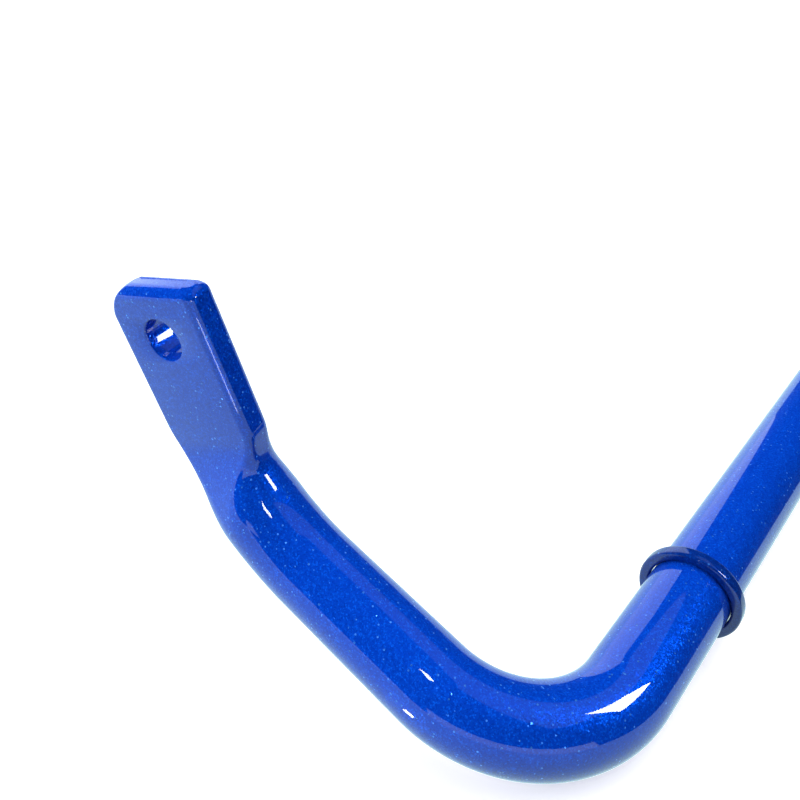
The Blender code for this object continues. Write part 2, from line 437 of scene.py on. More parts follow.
@dataclass(frozen=True)
class ZincPlate(Finish):
    """Bright zinc on rolled steel, with drawn grain and small handling marks.

    Attributes:
        light: Colour of the clean plate.
        dull: Colour of the cloudier patches.
        grain: How many of the rolling grain's lines fit in a metre, along each axis.
        metal: How much of the surface reflects as metal.
        rough: Roughness of the smoothest plate.
        patch_rough: How much rougher the cloudier patches are.
        grain_rough: How much rougher the grain's peaks are.
        relief: Depth of grain and marks.
    """

    light: Colour = (0.66, 0.67, 0.68)
    dull: Colour = (0.47, 0.48, 0.50)
    grain: tuple[float, float, float] = (40.0, 900.0, 900.0)
    metal: float = 0.7
    rough: float = 0.30
    patch_rough: float = 0.14
    grain_rough: float = 0.12
    relief: float = 0.00006

    def dress(self, tree: ShaderTree, shader: Node, place: Socket) -> None:
        """Lay rolled grain under cloudy plating.

        Args:
            tree: The tree that nodes are added to.
            shader: The Principled node.
            place: The Object coordinates.
        """
        values = {"Vector": place, "Scale": self.grain}
        stretched = tree.add("ShaderNodeMapping", None, values).outputs[0]
        grain = tree.noise(stretched, 1.0, 4.0)
        patch = tree.noise(place, 130.0, 5.0).eased(0.38, 0.68)
        scuff = tree.noise(place, 520.0, 2.0)
        tree.put(shader, "Base Color", tree.mixed(patch, self.light, self.dull))
        tree.put(shader, "Metallic", self.metal)
        roughness = patch * self.patch_rough + grain * self.grain_rough + self.rough
        tree.put(shader, "Roughness", roughness)
        height = grain * 0.6 + scuff.eased(0.60, 0.75) * 0.4
        tree.put(shader, "Normal", tree.bump(0.25, self.relief, height))


@dataclass(frozen=True)
class MouldedRubber(Finish):
    """Moulded elastomer or plastic with a fine satin texture.

    Attributes:
        body: Main colour.
        worn: Colour of rubbed and dusty spots.
        rough: Roughness of the moulded skin where it is clean.
        worn_rough: How much rougher the rubbed spots are.
        grain_rough: How much the roughness varies with the texture.
        grain_size: Size of the moulded texture.
        relief: Depth of that texture.
    """

    body: Colour = (0.022, 0.022, 0.025)
    worn: Colour = (0.060, 0.060, 0.066)
    rough: float = 0.50
    worn_rough: float = 0.16
    grain_rough: float = 0.10
    grain_size: float = 0.0007
    relief: float = 0.00005

    def dress(self, tree: ShaderTree, shader: Node, place: Socket) -> None:
        """Grain the skin and dust it unevenly.

        Args:
            tree: The tree that nodes are added to.
            shader: The Principled node.
            place: The Object coordinates.
        """
        grain = tree.noise(place, 1.0 / self.grain_size, 3.0)
        rubbed = tree.noise(place, 75.0, 6.0).eased(0.48, 0.74)
        tree.put(shader, "Base Color", tree.mixed(rubbed, self.body, self.worn))
        smoothest = self.rough - self.grain_rough / 2
        roughness = rubbed * self.worn_rough + grain * self.grain_rough + smoothest
        tree.put(shader, "Roughness", roughness)
        tree.put(shader, "Normal", tree.bump(0.5, self.relief, grain))


@dataclass(frozen=True)
class PaperSweep(Finish):
    """Matt white paper that the part stands on.

    Attributes:
        white: Its colour.
        lift: Light let through from below, which keeps shadows faint.
    """

    white: Colour = (0.93, 0.925, 0.93)
    lift: float = 0.36

    def dress(self, tree: ShaderTree, shader: Node, place: Socket) -> None:
        """Give the paper a barely visible tooth.

        Args:
            tree: The tree that nodes are added to.
            shader: The Principled node.
            place: The Object coordinates.
        """
        tooth = tree.noise(place, 900.0, 2.0)
        tree.put(shader, "Base Color", self.white)
        tree.put(shader, "Roughness", 0.9)
        tree.put(shader, "Emission Color", self.white)
        tree.put(shader, "Emission Strength", self.lift)
        tree.put(shader, "Normal", tree.bump(0.1, 0.0001, tooth))


@dataclass(frozen=True)
class Glow:
    """Plain emission, for the cards that reflections show and the wall that the camera sees.

    Attributes:
        name: The material's name.
        colour: Its colour.
        strength: Its brightness.
    """

    name: str
    colour: Colour
    strength: float

    def material(self) -> Material:
        """Build the emission material.

        Returns:
            The material.
        """
        made = bpy.data.materials.new(self.name)
        made.use_nodes = True
        tree = ShaderTree(made.node_tree)
        values = {"Color": self.colour, "Strength": self.strength}
        light = tree.add("ShaderNodeEmission", None, values)
        tree.add("ShaderNodeOutputMaterial", None, {"Surface": light.outputs[0]})
        return made


# --------------------------------------------------------------------------- meshes


def mesh_from(name: str, points: Sequence[Vector], faces: Sequence[Sequence[int]]) -> Piece:
    """Make one linked object from points and faces.

    Args:
        name: The object's name.
        points: Its vertices.
        faces: Its faces, as vertex numbers.

    Returns:
        The object.
    """
    mesh = bpy.data.meshes.new(name)
    mesh.from_pydata([tuple(point) for point in points], [], faces)
    mesh.update()
    made = bpy.data.objects.new(name, mesh)
    bpy.context.scene.collection.objects.link(made)
    return made


def loft(name: str, rings: Sequence[Sequence[Vector]]) -> Piece:
    """Skin equal rings and cap both ends.

    Args:
        name: The object's name.
        rings: Rings of points, each anticlockwise seen from the next ring's side.

    Returns:
        The object.
    """
    count = len(rings[0])
    points = [point for ring in rings for point in ring]
    faces: list[tuple[int, ...]] = []
    for row in range(len(rings) - 1):
        low = row * count
        high = low + count
        for step in range(count):
            following = (step + 1) % count
            faces.append((low + step, low + following, high + following, high + step))
    last = (len(rings) - 1) * count
    faces.append(tuple(reversed(range(count))))
    faces.append(tuple(range(last, last + count)))
    return mesh_from(name, points, faces)


def arc(centre: Pair, radius: float, start: float, stop: float, steps: int) -> list[Pair]:
    """Return points along an arc.

    Args:
        centre: The arc's centre.
        radius: Its radius.
        start: The first angle, from the first axis towards the second.
        stop: The last angle.
        steps: How many chords it has.

    Returns:
        The points, both ends included.
    """
    turns = [start + (stop - start) * step / steps for step in range(steps + 1)]
    across, up = centre
    return [(across + radius * math.cos(turn), up + radius * math.sin(turn)) for turn in turns]


def baked(made: Piece) -> Piece:
    """Turn an object's modifiers into its mesh.

    Args:
        made: The object.

    Returns:
        The same object, with a plain mesh and no modifier.
    """
    graph = bpy.context.evaluated_depsgraph_get()
    final = made.evaluated_get(graph)
    mesh = bpy.data.meshes.new_from_object(final, preserve_all_data_layers=True, depsgraph=graph)
    made.modifiers.clear()
    made.data = mesh
    mesh.name = made.name
    return made


def cut(made: Piece, cutter: Piece) -> Piece:
    """Take a cutter out of an object and throw the cutter away.

    Args:
        made: The object that is cut.
        cutter: The closed cutter.

    Returns:
        The cut object.
    """
    step = made.modifiers.new("Cut", "BOOLEAN")
    step.operation = "DIFFERENCE"
    step.solver = "EXACT"
    step.object = cutter
    baked(made)
    bpy.data.objects.remove(cutter, do_unlink=True)
    return made


def ease_edges(made: Piece, width: float, segments: int, limit: float = 35.0) -> Piece:
    """Round an object's sharp edges.

    Args:
        made: The object.
        width: How wide the rounding is.
        segments: How many facets it has.
        limit: Edges sharper than this many degrees are rounded.

    Returns:
        The same object.
    """
    step = made.modifiers.new("Edges", "BEVEL")
    step.width = width
    step.segments = segments
    step.limit_method = "ANGLE"
    step.angle_limit = math.radians(limit)
    return baked(made)


def smooth(made: Piece, limit: float = 32.0) -> Piece:
    """Shade an object smooth except at edges sharper than a limit in degrees.

    Args:
        made: The object.
        limit: The angle above which an edge stays sharp.

    Returns:
        The same object.
    """
    made.data.shade_smooth()
    made.data.set_sharp_from_angle(angle=math.radians(limit))
    return made


def moved(made: Piece, place: Matrix) -> Piece:
    """Apply a placement to an object's mesh, and turn its faces if it mirrors them.

    Args:
        made: The object, which stays at the origin.
        place: The placement.

    Returns:
        The same object.
    """
    made.data.transform(place)
    if place.determinant() < 0:
        made.data.flip_normals()
    made.data.update()
    return made


class NodeRecipe(NodeBuilder):
    """A Geometry Nodes tree with named inputs, baked into plain meshes."""

    def __init__(self, name: str, inputs: dict[str, tuple[str, float]]) -> None:
        """Start a tree.

        Args:
            name: The tree's name.
            inputs: Each input's name, with its socket type and its value.
        """
        super().__init__(bpy.data.node_groups.new(name, "GeometryNodeTree"))
        face = self.tree.interface
        for label, (kind, value) in inputs.items():
            socket = face.new_socket(label, in_out="INPUT", socket_type=kind)
            socket.default_value = value
        finish = face.new_socket("Finish", in_out="INPUT", socket_type="NodeSocketMaterial")
        self.finish_key = finish.identifier
        face.new_socket("Geometry", in_out="OUTPUT", socket_type="NodeSocketGeometry")
        self.source = self.add("NodeGroupInput")
        self.sink = self.add("NodeGroupOutput")

    def math(self, operation: str, first: object, second: object = 0.0) -> Socket:
        """Return the result of one Math node."""
        node = self.add("ShaderNodeMath", {"operation": operation}, {0: first, 1: second})
        return node.outputs[0]

    def given(self, label: str) -> Socket:
        """Return one of the tree's inputs."""
        return self.source.outputs[label]

    def close(self, geometry: Socket) -> None:
        """End the tree in Realize Instances and Set Material.

        Args:
            geometry: The geometry that the tree gives.
        """
        real = self.add("GeometryNodeRealizeInstances", None, {0: geometry})
        values = {"Geometry": real.outputs[0], "Material": self.given("Finish")}
        dressed = self.add("GeometryNodeSetMaterial", None, values)
        self.tree.links.new(dressed.outputs[0], self.sink.inputs[0])

    def make(self, name: str, finish: Material) -> Piece:
        """Bake the tree into an object.

        Args:
            name: The object's name.
            finish: The material.

        Returns:
            The object, with a plain mesh.
        """
        made = mesh_from(name, [], [])
        step = made.modifiers.new("Recipe", "NODES")
        step.node_group = self.tree
        step[self.finish_key] = finish
        return baked(made)


# --------------------------------------------------------------------------- the bar


def smooth_step(value: float) -> float:
    """Return value clamped to 0..1 and eased at both ends."""
    value = min(max(value, 0.0), 1.0)
    return value * value * (3 - 2 * value)


def heading(rise: float, toe: float) -> Vector:
    """Return the unit direction with a rise and a lean towards +X, in degrees.

    Args:
        rise: Angle above level.
        toe: Angle away from +Y towards +X.

    Returns:
        The direction, one long.
    """
    level = math.cos(math.radians(rise))
    lean = math.radians(toe)
    return Vector((level * math.sin(lean), level * math.cos(lean), math.sin(math.radians(rise))))


@dataclass
class Station:
    """One point of the bar's centreline.

    Attributes:
        point: Its place.
        direction: The way the bar runs there, towards the tip.
    """

    point: Vector
    direction: Vector


@dataclass
class PaintedBar:
    """The one-piece bar: main span, two arms and two flattened, drilled ends.

    Attributes:
        span: Distance between the two corners.
        radius: Radius of the round shaft.
        corner_radius: Centreline radius of the corner bend.
        arm_rise: How far the arm rises above level, in degrees.
        arm_toe: How far it leans inboard, in degrees.
        arm_length: From the corner to the middle of the neck bend.
        neck_radius: Centreline radius of the neck bend.
        end_rise: How far the flattened end rises above level, in degrees.
        end_toe: How far it leans inboard, in degrees.
        end_twist: How far its face is turned about its length, in degrees.
        end_width: Width of the flat.
        end_thickness: Thickness of the flat.
        end_edge: Rounding of the flat's long edges.
        end_offset: How far the flat is set back from the shaft's centreline.
        far_corner: Rounding of the tip's corner away from the main bar.
        near_corner: Rounding of its other corner.
        tip_edge: Rounding of the tip's faces into its end.
        tip_crown: How far the tip's end bulges.
        crown_length: Length over which the bulge grows.
        neck_to_hole: From the neck bend's middle to the hole.
        hole_to_tip: From the hole to the tip.
        wide_below: Length of full width below the hole.
        wide_fade: Length over which the width returns to the shaft's.
        thin_below: Length of full flatness below the hole.
        thin_fade: Length over which the depth returns to the shaft's.
        hole_radius: Radius of the link hole.
        hole_lip: Rounding of the hole's rim.
        around: Points round a section.
        axis: The point of the main span's axis midway between the arms.
    """

    span: float = 1.040
    radius: float = 0.012
    corner_radius: float = 0.036
    arm_rise: float = 15.7
    arm_toe: float = 3.4
    arm_length: float = 0.1058
    neck_radius: float = 0.047
    end_rise: float = 73.5
    end_toe: float = -17.6
    end_twist: float = -10.0
    end_width: float = 0.0306
    end_thickness: float = 0.0084
    end_edge: float = 0.0024
    end_offset: float = 0.0007
    far_corner: float = 0.0085
    near_corner: float = 0.0018
    tip_edge: float = 0.0027
    tip_crown: float = 0.0026
    crown_length: float = 0.012
    neck_to_hole: float = 0.0545
    hole_to_tip: float = 0.0146
    wide_below: float = 0.026
    wide_fade: float = 0.018
    thin_below: float = 0.031
    thin_fade: float = 0.024
    hole_radius: float = 0.0056
    hole_lip: float = 0.0006
    around: int = 96
    axis: Vector = field(default_factory=Vector)

    @property
    def corner(self) -> Vector:
        """Return the left corner, where main span and arm would meet."""
        return self.axis + Vector((-self.span / 2, 0, 0))

    @property
    def arm(self) -> Vector:
        """Return the left arm's direction."""
        return heading(self.arm_rise, self.arm_toe)

    @property
    def end(self) -> Vector:
        """Return the left flattened end's direction."""
        return heading(self.end_rise, self.end_toe)

    @property
    def face(self) -> Vector:
        """Return the outward normal of the left end's face.

        Returns:
            The normal, one long.
        """
        level = Vector((0, 0, 1)).cross(self.end).normalized()
        outward = -level if level.x > 0 else level
        return Matrix.Rotation(math.radians(self.end_twist), 3, self.end) @ outward

    @property
    def hole(self) -> Vector:
        """Return the middle of the left link hole."""
        return self.corner + self.arm * self.arm_length + self.end * self.neck_to_hole

    @staticmethod
    def _bend(
        vertex: Vector, arriving: Vector, leaving: Vector, radius: float, steps: int,
    ) -> list[Station]:
        """Return the stations round one bend.

        Args:
            vertex: Where the two straight lengths would meet.
            arriving: Direction before the bend.
            leaving: Direction after it.
            radius: Centreline radius.
            steps: How many chords it has.

        Returns:
            The stations, both ends included.
        """
        angle = arriving.angle(leaving)
        start = vertex - arriving * radius * math.tan(angle / 2)
        inward = (leaving - arriving * arriving.dot(leaving)).normalized()
        centre = start + inward * radius
        found = []
        for step in range(steps + 1):
            turn = angle * step / steps
            point = centre - inward * radius * math.cos(turn) + arriving * radius * math.sin(turn)
            found.append(Station(point, arriving * math.cos(turn) + inward * math.sin(turn)))
        return found

    @staticmethod
    def _straight(start: Station, end: Vector, steps: int) -> list[Station]:
        """Return the stations strictly between a station and a point straight ahead."""
        points = [start.point.lerp(end, step / steps) for step in range(1, steps)]
        return [Station(point, start.direction) for point in points]

    def stations(self) -> list[Station]:
        """Follow the left half from the middle of the bar to the tip.

        Returns:
            The stations, in order.
        """
        outward = Vector((-1, 0, 0))
        neck = self.corner + self.arm * self.arm_length
        tip = self.hole + self.end * self.hole_to_tip
        found = [Station(self.axis.copy(), outward)]
        corner_bend = self._bend(self.corner, outward, self.arm, self.corner_radius, 56)
        found += self._straight(found[0], corner_bend[0].point, 24) + corner_bend
        neck_bend = self._bend(neck, self.arm, self.end, self.neck_radius, 48)
        found += self._straight(corner_bend[-1], neck_bend[0].point, 16) + neck_bend
        rounding = tip - self.end * self.far_corner
        found += self._straight(neck_bend[-1], rounding, 52)
        steps = 40
        for step in range(steps + 1):
            reach = self.far_corner * math.sin(math.pi / 2 * step / steps)
            found.append(Station(rounding + self.end * reach, self.end))
        return found

    @staticmethod
    def _inset(radius: float, from_tip: float) -> float:
        """Return how far a rounding draws a surface in at a distance from the tip."""
        reach = max(radius - from_tip, 0.0)
        return radius - math.sqrt(radius ** 2 - reach ** 2)

    def _section(self, station: Station, normal: Vector, from_tip: float) -> list[Vector]:
        """Return one section, round in the shaft and flattened near the tip.

        Args:
            station: Where the section stands.
            normal: The way the flat's face looks there.
            from_tip: Length of centreline between the section and the tip.

        Returns:
            The section's points.
        """
        below_hole = from_tip - self.hole_to_tip
        wide = 1 - smooth_step((below_hole - self.wide_below) / self.wide_fade)
        thin = 1 - smooth_step((below_hole - self.thin_below) / self.thin_fade)
        half_width = self.radius + (self.end_width / 2 - self.radius) * wide
        half_depth = self.radius + (self.end_thickness / 2 - self.radius) * thin
        half_depth -= self._inset(self.tip_edge, from_tip)
        edge = self.radius + (self.end_edge - self.radius) * thin
        edge = min(edge, half_depth, half_width)
        crown = self.tip_crown * smooth_step(1 - from_tip / self.crown_length)
        across = normal.cross(station.direction)
        steps = self.around // 4
        ring = []
        for quarter, (side, face) in enumerate(((1, 1), (-1, 1), (-1, -1), (1, -1))):
            corner = self.far_corner if side > 0 else self.near_corner
            reach = half_width - self._inset(corner, from_tip)
            for step in range(steps):
                turn = math.pi / 2 * (quarter + (step + 0.5) / steps)
                x = side * (reach - edge) + edge * math.cos(turn)
                y = face * (half_depth - edge) + edge * math.sin(turn) - self.end_offset * thin
                drop = crown * (2 * x / self.end_width) ** 2
                ring.append(station.point + across * x + normal * y - station.direction * drop)
        return ring

    def _rings(self) -> list[list[Vector]]:
        """Lay a section on every station, its face kept from turning along the way.

        Returns:
            The sections, in the order of the stations.
        """
        stations = self.stations()
        normal = self.face
        from_tip = 0.0
        last = stations[-1].point
        rings = []
        for station in reversed(stations):
            from_tip += (last - station.point).length
            last = station.point
            normal = (normal - station.direction * normal.dot(station.direction)).normalized()
            rings.append(self._section(station, normal, from_tip))
        rings.reverse()
        return rings

    def _drill(self, side: Side) -> Piece:
        """Make the link hole's cutter, flared so that the hole's rim is rounded.

        Args:
            side: The half it cuts.

        Returns:
            The closed cutter.
        """
        half = self.end_thickness / 2
        reach = half * 3
        wide = self.hole_radius + self.hole_lip
        flare = arc((half - self.hole_lip, wide), self.hole_lip, -math.pi / 2, 0, 8)
        right = [(z + 0.00002, r) for z, r in flare] + [(reach, wide)]
        profile = [(-z, r) for z, r in reversed(right)] + right
        turns = [2 * math.pi * step / 64 for step in range(64)]
        circle = [Vector((math.cos(turn), math.sin(turn), 0)) for turn in turns]
        rings = [[point * r + Vector((0, 0, z)) for point in circle] for z, r in profile]
        drill = loft("drill", rings)
        quarter_turn = self.face.to_track_quat("Z", "Y").to_matrix().to_4x4()
        mirror = Matrix.Scale(-side.value, 4, Vector((1, 0, 0)))
        middle = self.hole - self.face * self.end_offset
        return moved(drill, mirror @ Matrix.Translation(middle) @ quarter_turn)

    def build(self, finish: Finish) -> Piece:
        """Build and dress the bar.

        Args:
            finish: Its paint.

        Returns:
            The bar.
        """
        left = self._rings()
        right = [[Vector((-point.x, point.y, point.z)) for point in ring] for ring in left]
        bar = loft("painted_bar", list(reversed(right)) + left[1:])
        for side in Side:
            cut(bar, self._drill(side))
        ease_edges(bar, 0.0011, 4, 50.0)
        bar.data.materials.append(finish.material())
        return smooth(bar, 40.0)


@dataclass
class StopCollar:
    """A plain ring pressed on the bar beside each corner.

    Attributes:
        inner: Radius of its bore.
        outer: Outer radius.
        width: Its width along the bar.
        edge: Rounding of its edges.
        around: Points round the ring.
        edge_points: Points round a rounded edge.
    """

    inner: float = 0.01215
    outer: float = 0.0152
    width: float = 0.0040
    edge: float = 0.0009
    around: int = 144
    edge_points: int = 6

    def recipe(self) -> NodeRecipe:
        """Write the tree that sweeps the collar's rounded section round a circle.

        Returns:
            The tree.
        """
        length = "NodeSocketFloat"
        tree = NodeRecipe("collar_sweep", {
            "Inner": (length, self.inner),
            "Outer": (length, self.outer),
            "Width": (length, self.width),
            "Edge": (length, self.edge),
        })
        inner, outer = tree.given("Inner"), tree.given("Outer")
        middle = tree.math("MULTIPLY", tree.math("ADD", inner, outer), 0.5)
        depth = tree.math("SUBTRACT", outer, inner)
        path = tree.add("GeometryNodeCurvePrimitiveCircle", None, {
            "Resolution": self.around, "Radius": middle})
        box = tree.add("GeometryNodeCurvePrimitiveQuadrilateral", None, {
            "Width": depth, "Height": tree.given("Width")})
        rounded = tree.add("GeometryNodeFilletCurve", {"mode": "POLY"}, {
            "Curve": box.outputs[0], "Count": self.edge_points, "Radius": tree.given("Edge")})
        swept = tree.add("GeometryNodeCurveToMesh", None, {
            "Curve": path.outputs[0], "Profile Curve": rounded.outputs[0]})
        tree.close(swept.outputs[0])
        return tree

    def build(self, side: Side, recipe: NodeRecipe, centre: Vector, finish: Material) -> Piece:
        """Build one collar.

        Args:
            side: The half it is on.
            recipe: The tree from recipe().
            centre: Its centre.
            finish: Its paint, darker than the bar's as painted shade.

        Returns:
            The collar.
        """
        collar = recipe.make(f"{side.word}_stop_collar", finish)
        turn = Matrix.Rotation(math.pi / 2, 4, "Y")
        moved(collar, Matrix.Translation(centre) @ turn)
        return smooth(face_outward(collar), 40.0)


def face_outward(made: Piece) -> Piece:
    """Merge an object's doubles and turn all its faces outward.

    Args:
        made: The object.

    Returns:
        The same object.
    """
    work = bmesh.new()
    work.from_mesh(made.data)
    bmesh.ops.remove_doubles(work, verts=work.verts, dist=1e-6)
    bmesh.ops.recalc_face_normals(work, faces=work.faces)
    work.to_mesh(made.data)
    work.free()
    return made


# --------------------------------------------------------------------------- supports


@dataclass
class SupportStack:
    """One support: split liner, split D-bush, saddle clamp and grease nipple.

    Attributes:
        axis_height: Height of the bar's axis above the feet.
        liner_inner: Bore of the liner.
        liner_outer: Its outside radius.
        liner_slit: Width of its slit.
        bush_bore: Radius of the bush's bore.
        bush_radius: Radius of the bush in the saddle.
        bush_length: Length of bush and liner.
        lip_width: Width of a lip.
        lip_radius: Radius of a lip.
        bush_slit: Width of the slit that lets the bush over the bar.
        bush_corner: Rounding of the bush's lower corners.
        lip_slope: Length over which a lip rises.
        pocket_depth: Depth of the cutter for the nipple's pocket, half of it in the bush.
        rib_count: Grip ribs on each end face.
        strap_inner: Inner radius of the saddle.
        strap_thickness: Thickness of its steel.
        strap_width: Width of its steel.
        strap_bend: Inner radius where a foot leaves the side.
        foot_reach: From the axis to a foot's end.
        bolt_offset: From the axis to a bolt hole.
        bolt_radius: Radius of a bolt hole.
        nipple_hole: Radius of the hole in the crown.
    """

    axis_height: float = 0.018
    liner_inner: float = 0.0123
    liner_outer: float = 0.0132
    liner_slit: float = 0.0012
    bush_bore: float = 0.0136
    bush_radius: float = 0.0190
    bush_length: float = 0.036
    lip_width: float = 0.0036
    lip_radius: float = 0.0219
    bush_slit: float = 0.0009
    bush_corner: float = 0.0016
    lip_slope: float = 0.0004
    pocket_depth: float = 0.0044
    rib_count: int = 13
    strap_inner: float = 0.0193
    strap_thickness: float = 0.003
    strap_width: float = 0.0282
    strap_bend: float = 0.003
    foot_reach: float = 0.043
    bolt_offset: float = 0.0335
    bolt_radius: float = 0.0044
    nipple_hole: float = 0.0032

    @property
    def crown(self) -> float:
        """Return the height of the saddle's crown above the axis."""
        return self.strap_inner + self.strap_thickness

    def _extruded(self, name: str, outline: Sequence[Pair], length: float) -> Piece:
        """Extrude a closed YZ outline along X, centred."""
        ends = [[Vector((x, y, z)) for y, z in outline] for x in (-length / 2, length / 2)]
        return loft(name, ends)

    def _drill(self, radius: float, place: Vector, depth: float) -> Piece:
        """Make an upright cylinder for cutting a hole.

        Args:
            radius: Its radius.
            place: Its middle.
            depth: Its length.

        Returns:
            The closed cylinder.
        """
        rings = []
        for height in (-depth / 2, depth / 2):
            points = arc((0, 0), radius, 0, 2 * math.pi, 64)[:-1]
            rings.append([place + Vector((x, y, height)) for x, y in points])
        return loft("drill", rings)

    def liner(self, name: str) -> Piece:
        """Make the split liner about the origin.

        Args:
            name: The object's name.

        Returns:
            The liner.
        """
        outer_gap = math.asin(self.liner_slit / 2 / self.liner_outer)
        inner_gap = math.asin(self.liner_slit / 2 / self.liner_inner)
        outside = arc((0, 0), self.liner_outer, -math.pi + outer_gap, math.pi - outer_gap, 96)
        inside = arc((0, 0), self.liner_inner, math.pi - inner_gap, -math.pi + inner_gap, 96)
        made = self._extruded(name, outside + inside, self.bush_length)
        return ease_edges(made, 0.00018, 2)

    def _bush_outline(self, radius: float) -> list[Pair]:
        """Draw a bush section: flat base, straight sides, round top, bore and slit.

        Args:
            radius: Radius of the round top.

        Returns:
            The closed outline, as Y and Z.
        """
        half = self.bush_slit / 2
        gap = math.asin(half / self.bush_bore)
        corner = self.bush_corner
        base = -self.axis_height
        rear = arc((-radius + corner, base + corner), corner, math.pi, 1.5 * math.pi, 6)
        front = arc((radius - corner, base + corner), corner, -math.pi / 2, 0, 6)
        top = arc((0, 0), radius, 0, math.pi - math.asin(half / radius), 72)
        bore = arc((0, 0), self.bush_bore, math.pi - gap, -math.pi + gap, 96)
        return [(-radius, -half)] + rear + front + top + bore

    def bush(self, name: str) -> Piece:
        """Make the split bush with its lips and nipple pocket about the origin.

        Args:
            name: The object's name.

        Returns:
            The bush.
        """
        end = self.bush_length / 2
        groove = end - self.lip_width
        shoulder = groove + self.lip_slope
        half = ((groove, self.bush_radius), (shoulder, self.lip_radius), (end, self.lip_radius))
        rows = [(-x, radius) for x, radius in reversed(half)] + list(half)
        rings = [[Vector((x, y, z)) for y, z in self._bush_outline(radius)] for x, radius in rows]
        made = loft(name, rings)
        top = Vector((0, 0, self.bush_radius))
        cut(made, self._drill(self.nipple_hole, top, self.pocket_depth))
        return ease_edges(made, 0.00035, 3)

    def rib_recipe(self) -> NodeRecipe:
        """Write the tree that spreads grip ribs over the arch of a lip.

        Returns:
            The tree.
        """
        tree = NodeRecipe("lip_ribs", {
            "Count": ("NodeSocketInt", self.rib_count),
            "Radius": ("NodeSocketFloat", (self.bush_bore + self.lip_radius) / 2),
            "Length": ("NodeSocketFloat", (self.lip_radius - self.bush_bore) * 0.52),
            "Width": ("NodeSocketFloat", 0.0009),
            "Height": ("NodeSocketFloat", 0.0005),
        })
        path = tree.add("GeometryNodeCurveArc", None, {
            "Resolution": 64, "Radius": tree.given("Radius"),
            "Start Angle": math.radians(12), "Sweep Angle": math.radians(156)})
        spots = tree.add("GeometryNodeCurveToPoints", None, {
            "Curve": path.outputs[0], "Count": tree.given("Count")})
        size = tree.add("ShaderNodeCombineXYZ", None, {
            0: tree.given("Length"), 1: tree.given("Width"), 2: tree.given("Height")})
        rib = tree.add("GeometryNodeMeshUVSphere", None, {
            "Segments": 12, "Rings": 8, "Radius": 0.5})
        shaped = tree.add("GeometryNodeTransform", None, {
            "Geometry": rib.outputs[0], "Scale": size.outputs[0]})
        place = tree.add("GeometryNodeInputPosition")
        turn = tree.add("FunctionNodeAlignEulerToVector", {"axis": "X"}, {
            "Vector": place.outputs[0]})
        laid = tree.add("GeometryNodeInstanceOnPoints", None, {
            "Points": spots.outputs[0], "Instance": shaped.outputs[0], "Rotation": turn.outputs[0]})
        tree.close(laid.outputs[0])
        return tree

    def _strap_outline(self) -> list[Pair]:
        """Draw the saddle's section: two feet, two sides and a crown.

        Returns:
            The closed outline, as Y and Z.
        """
        outer = self.strap_bend
        inner = self.strap_bend + self.strap_thickness
        base = -self.axis_height
        foot_top = base + self.strap_thickness
        front = [(self.foot_reach, base), (self.foot_reach, foot_top)]
        front += arc((self.crown + outer, foot_top + outer), outer, -math.pi / 2, -math.pi, 10)
        crown = arc((0, 0), self.crown, 0, math.pi, 72)
        rear = [(-y, z) for y, z in reversed(front)]
        turned = arc((self.strap_inner + inner, base + inner), inner, -math.pi / 2, -math.pi, 10)
        under = arc((0, 0), self.strap_inner, math.pi, 0, 72)
        return front + crown + rear + [(-y, z) for y, z in turned] + under + list(reversed(turned))

    def saddle(self, name: str) -> Piece:
        """Make the drilled saddle with rounded foot corners about the origin.

        Args:
            name: The object's name.

        Returns:
            The saddle.
        """
        made = self._extruded(name, self._strap_outline(), self.strap_width)
        through = 4 * self.strap_thickness
        for sign in (-1, 1):
            place = Vector((0, sign * self.bolt_offset, -self.axis_height))
            cut(made, self._drill(self.bolt_radius, place, through))
        cut(made, self._drill(self.nipple_hole, Vector((0, 0, self.crown)), through))
        return ease_edges(made, 0.00045, 3)

    def nipple(self, name: str) -> Piece:
        """Return the grease nipple on the saddle's crown.

        Each part of its outline is a run of radius, height and how hexagonal it is there.

        Args:
            name: The object's name.

        Returns:
            The nipple, in one piece.
        """
        hexagon_apothem = 0.0032
        hexagon_chamfer = 0.00355
        steps = 72
        shank = (
            (0.0026, -0.0034, 0), (0.0028, -0.0031, 0), (0.0028, 0.0004, 0), (0.0030, 0.0006, 0),
        )
        hexagon = (
            (0.0032, 0.0008, 1), (0.0032, 0.0040, 1), (0.0031, 0.0045, 0.6), (0.0029, 0.0046, 0),
        )
        neck = (
            (0.0024, 0.0050, 0), (0.0020, 0.0058, 0), (0.0018, 0.0066, 0), (0.0017, 0.0074, 0),
        )
        head = (
            (0.0018, 0.0080, 0), (0.0024, 0.0086, 0), (0.0026, 0.0092, 0), (0.0025, 0.0098, 0),
        )
        mouth = ((0.0020, 0.0103, 0), (0.0012, 0.0106, 0), (0.0006, 0.0105, 0))
        rings = []
        for radius, height, hexagonal in shank + hexagon + neck + head + mouth:
            ring = []
            for step in range(steps):
                turn = 2 * math.pi * step / steps
                sector = math.radians((math.degrees(turn) + 30) % 60 - 30)
                flat = min(hexagon_apothem / math.cos(sector), hexagon_chamfer)
                reach = radius + (flat - radius) * hexagonal
                across = Vector((reach * math.cos(turn), reach * math.sin(turn), 0))
                ring.append(across + Vector((0, 0, height + self.crown)))
            rings.append(ring)
        return loft(name, rings)

